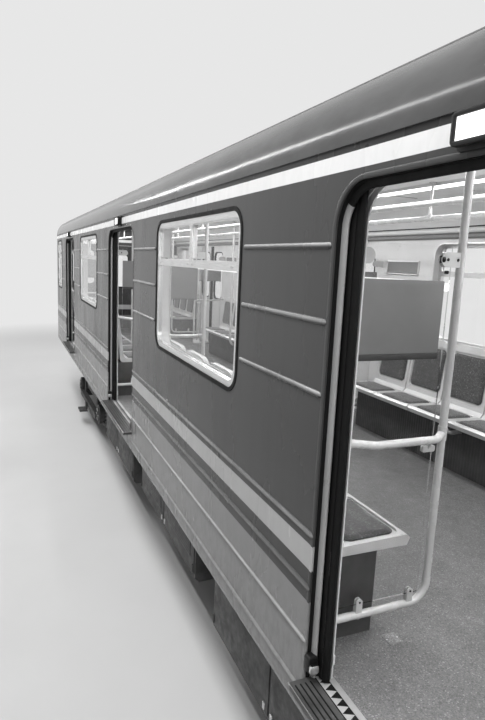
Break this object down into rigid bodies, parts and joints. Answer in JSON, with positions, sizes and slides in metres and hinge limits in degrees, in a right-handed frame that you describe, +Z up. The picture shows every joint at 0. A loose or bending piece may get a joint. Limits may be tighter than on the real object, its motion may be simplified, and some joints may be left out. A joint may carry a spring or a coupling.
{
  "type": "metro car",
  "caption": "Metro car with sliding side doors, hinged end doors, seats and grab rails, on two motor bogies with rail wheelsets and automatic couplers.",
  "frame": {"origin": "under the middle of the car, level with the lowest point of the wheel flanges, 28 mm below rail top", "axes": "+X along the car, +Y towards the side with the open doors, +Z up"},
  "size_m": [19.42, 2.854, 3.7206],
  "materials": {
    "body_panel": "gloss",
    "door_panel": "gloss",
    "roof_panel": "satin",
    "inner_panel": "satin",
    "light_cover": "satin",
    "lamp_cover": "gloss",
    "floor_covering": "matt",
    "frame_steel": "satin",
    "motor_case": "matt",
    "wheel_steel": "turned and worn",
    "coupler_steel": "matt",
    "window_rubber": "matt",
    "window_frame": "satin",
    "clear_glass": "clear",
    "step_plate": "worn",
    "seat_shell": "satin",
    "base_panel": "satin",
    "seat_cloth": "woven, speckled",
    "rail_tube": "satin"
  },
  "bodies": {
    "car_body": {"air_tanks": "frame_steel", "ceiling": "inner_panel", "ceiling_lights": "light_cover", "cornices": "inner_panel", "door_lamps": "lamp_cover", "end_wall_front": "body_panel", "end_wall_rear": "body_panel", "equipment_boxes": "frame_steel", "floor": "floor_covering", "glass_screens": "clear_glass", "grab_rails": "rail_tube", "overhead_rails": "rail_tube", "roof": "roof_panel", "roof_vents": "roof_panel", "seat_bases": "base_panel", "seat_pads": "seat_cloth", "seats": "seat_shell", "side_lining_platform": "inner_panel", "side_lining_track": "inner_panel", "side_wall_platform": "body_panel", "side_wall_track": "body_panel", "thresholds": "step_plate", "underframe": "frame_steel", "window_frames": "window_frame", "window_gaskets": "window_rubber", "window_panes": "clear_glass"},
    "door_leaf_platform_1a": {"door_leaf_platform_1a": "door_panel"},
    "door_leaf_platform_1b": {"door_leaf_platform_1b": "door_panel"},
    "door_leaf_platform_2a": {"door_leaf_platform_2a": "door_panel"},
    "door_leaf_platform_2b": {"door_leaf_platform_2b": "door_panel"},
    "door_leaf_platform_3a": {"door_leaf_platform_3a": "door_panel"},
    "door_leaf_platform_3b": {"door_leaf_platform_3b": "door_panel"},
    "door_leaf_platform_4a": {"door_leaf_platform_4a": "door_panel"},
    "door_leaf_platform_4b": {"door_leaf_platform_4b": "door_panel"},
    "door_leaf_track_1a": {"door_leaf_track_1a": "door_panel"},
    "door_leaf_track_1b": {"door_leaf_track_1b": "door_panel"},
    "door_leaf_track_2a": {"door_leaf_track_2a": "door_panel"},
    "door_leaf_track_2b": {"door_leaf_track_2b": "door_panel"},
    "door_leaf_track_3a": {"door_leaf_track_3a": "door_panel"},
    "door_leaf_track_3b": {"door_leaf_track_3b": "door_panel"},
    "door_leaf_track_4a": {"door_leaf_track_4a": "door_panel"},
    "door_leaf_track_4b": {"door_leaf_track_4b": "door_panel"},
    "end_door_front": {"end_door_front": "door_panel"},
    "end_door_rear": {"end_door_rear": "door_panel"},
    "coupler_front": {"coupler_front": "coupler_steel"},
    "coupler_rear": {"coupler_rear": "coupler_steel"},
    "bogie_front": {"bogie_frame_front": "frame_steel", "axle_springs_front": "wheel_steel", "motors_front": "motor_case"},
    "wheelset_front_1": {"wheels_front_1": "wheel_steel", "axle_front_1": "wheel_steel"},
    "wheelset_front_2": {"wheels_front_2": "wheel_steel", "axle_front_2": "wheel_steel"},
    "bogie_rear": {"bogie_frame_rear": "frame_steel", "axle_springs_rear": "wheel_steel", "motors_rear": "motor_case"},
    "wheelset_rear_1": {"wheels_rear_1": "wheel_steel", "axle_rear_1": "wheel_steel"},
    "wheelset_rear_2": {"wheels_rear_2": "wheel_steel", "axle_rear_2": "wheel_steel"}
  },
  "joints": [
    {"name": "slide_platform_1a", "type": "slide", "parent": "car_body", "child": "door_leaf_platform_1a", "axis": [1, 0, 0], "range_m": [0, 0.57]},
    {"name": "slide_platform_1b", "type": "slide", "parent": "car_body", "child": "door_leaf_platform_1b", "axis": [-1, 0, 0], "range_m": [0, 0.57]},
    {"name": "slide_platform_2a", "type": "slide", "parent": "car_body", "child": "door_leaf_platform_2a", "axis": [1, 0, 0], "range_m": [0, 0.57]},
    {"name": "slide_platform_2b", "type": "slide", "parent": "car_body", "child": "door_leaf_platform_2b", "axis": [-1, 0, 0], "range_m": [0, 0.57]},
    {"name": "slide_platform_3a", "type": "slide", "parent": "car_body", "child": "door_leaf_platform_3a", "axis": [1, 0, 0], "range_m": [0, 0.57]},
    {"name": "slide_platform_3b", "type": "slide", "parent": "car_body", "child": "door_leaf_platform_3b", "axis": [-1, 0, 0], "range_m": [0, 0.57]},
    {"name": "slide_platform_4a", "type": "slide", "parent": "car_body", "child": "door_leaf_platform_4a", "axis": [1, 0, 0], "range_m": [0, 0.57]},
    {"name": "slide_platform_4b", "type": "slide", "parent": "car_body", "child": "door_leaf_platform_4b", "axis": [-1, 0, 0], "range_m": [0, 0.57]},
    {"name": "slide_track_1a", "type": "slide", "parent": "car_body", "child": "door_leaf_track_1a", "axis": [-1, 0, 0], "range_m": [0, 0.57]},
    {"name": "slide_track_1b", "type": "slide", "parent": "car_body", "child": "door_leaf_track_1b", "axis": [1, 0, 0], "range_m": [0, 0.57]},
    {"name": "slide_track_2a", "type": "slide", "parent": "car_body", "child": "door_leaf_track_2a", "axis": [-1, 0, 0], "range_m": [0, 0.57]},
    {"name": "slide_track_2b", "type": "slide", "parent": "car_body", "child": "door_leaf_track_2b", "axis": [1, 0, 0], "range_m": [0, 0.57]},
    {"name": "slide_track_3a", "type": "slide", "parent": "car_body", "child": "door_leaf_track_3a", "axis": [-1, 0, 0], "range_m": [0, 0.57]},
    {"name": "slide_track_3b", "type": "slide", "parent": "car_body", "child": "door_leaf_track_3b", "axis": [1, 0, 0], "range_m": [0, 0.57]},
    {"name": "slide_track_4a", "type": "slide", "parent": "car_body", "child": "door_leaf_track_4a", "axis": [-1, 0, 0], "range_m": [0, 0.57]},
    {"name": "slide_track_4b", "type": "slide", "parent": "car_body", "child": "door_leaf_track_4b", "axis": [1, 0, 0], "range_m": [0, 0.57]},
    {"name": "end_door_front_hinge", "type": "hinge", "parent": "car_body", "child": "end_door_front", "pos_m": [9.343, -0.31, 2.2], "axis": [0, 0, 1], "range_deg": [0, 90]},
    {"name": "end_door_rear_hinge", "type": "hinge", "parent": "car_body", "child": "end_door_rear", "pos_m": [-9.343, 0.31, 2.2], "axis": [0, 0, 1], "range_deg": [0, 90]},
    {"name": "bogie_front_swivel", "type": "hinge", "parent": "car_body", "child": "bogie_front", "pos_m": [6.3, 0, 0.8], "axis": [0, 0, 1], "range_deg": [-5, 5]},
    {"name": "wheelset_front_1_roll", "type": "hinge", "parent": "bogie_front", "child": "wheelset_front_1", "pos_m": [7.35, 0, 0.418], "axis": [0, 1, 0], "continuous": true},
    {"name": "wheelset_front_2_roll", "type": "hinge", "parent": "bogie_front", "child": "wheelset_front_2", "pos_m": [5.25, 0, 0.418], "axis": [0, 1, 0], "continuous": true},
    {"name": "coupler_front_swing", "type": "hinge", "parent": "car_body", "child": "coupler_front", "pos_m": [8.7, 0, 0.856], "axis": [0, 0, 1], "range_deg": [-12, 12]},
    {"name": "bogie_rear_swivel", "type": "hinge", "parent": "car_body", "child": "bogie_rear", "pos_m": [-6.3, 0, 0.8], "axis": [0, 0, 1], "range_deg": [-5, 5]},
    {"name": "wheelset_rear_1_roll", "type": "hinge", "parent": "bogie_rear", "child": "wheelset_rear_1", "pos_m": [-5.25, 0, 0.418], "axis": [0, 1, 0], "continuous": true},
    {"name": "wheelset_rear_2_roll", "type": "hinge", "parent": "bogie_rear", "child": "wheelset_rear_2", "pos_m": [-7.35, 0, 0.418], "axis": [0, 1, 0], "continuous": true},
    {"name": "coupler_rear_swing", "type": "hinge", "parent": "car_body", "child": "coupler_rear", "pos_m": [-8.7, 0, 0.856], "axis": [0, 0, 1], "range_deg": [-12, 12]}
  ],
  "couplings": [
    {"joint": "slide_platform_1b", "follows": "slide_platform_1a", "ratio": 1},
    {"joint": "slide_platform_2b", "follows": "slide_platform_2a", "ratio": 1},
    {"joint": "slide_platform_3b", "follows": "slide_platform_3a", "ratio": 1},
    {"joint": "slide_platform_4b", "follows": "slide_platform_4a", "ratio": 1},
    {"joint": "slide_track_1b", "follows": "slide_track_1a", "ratio": 1},
    {"joint": "slide_track_2b", "follows": "slide_track_2a", "ratio": 1},
    {"joint": "slide_track_3b", "follows": "slide_track_3a", "ratio": 1},
    {"joint": "slide_track_4b", "follows": "slide_track_4a", "ratio": 1}
  ]
}
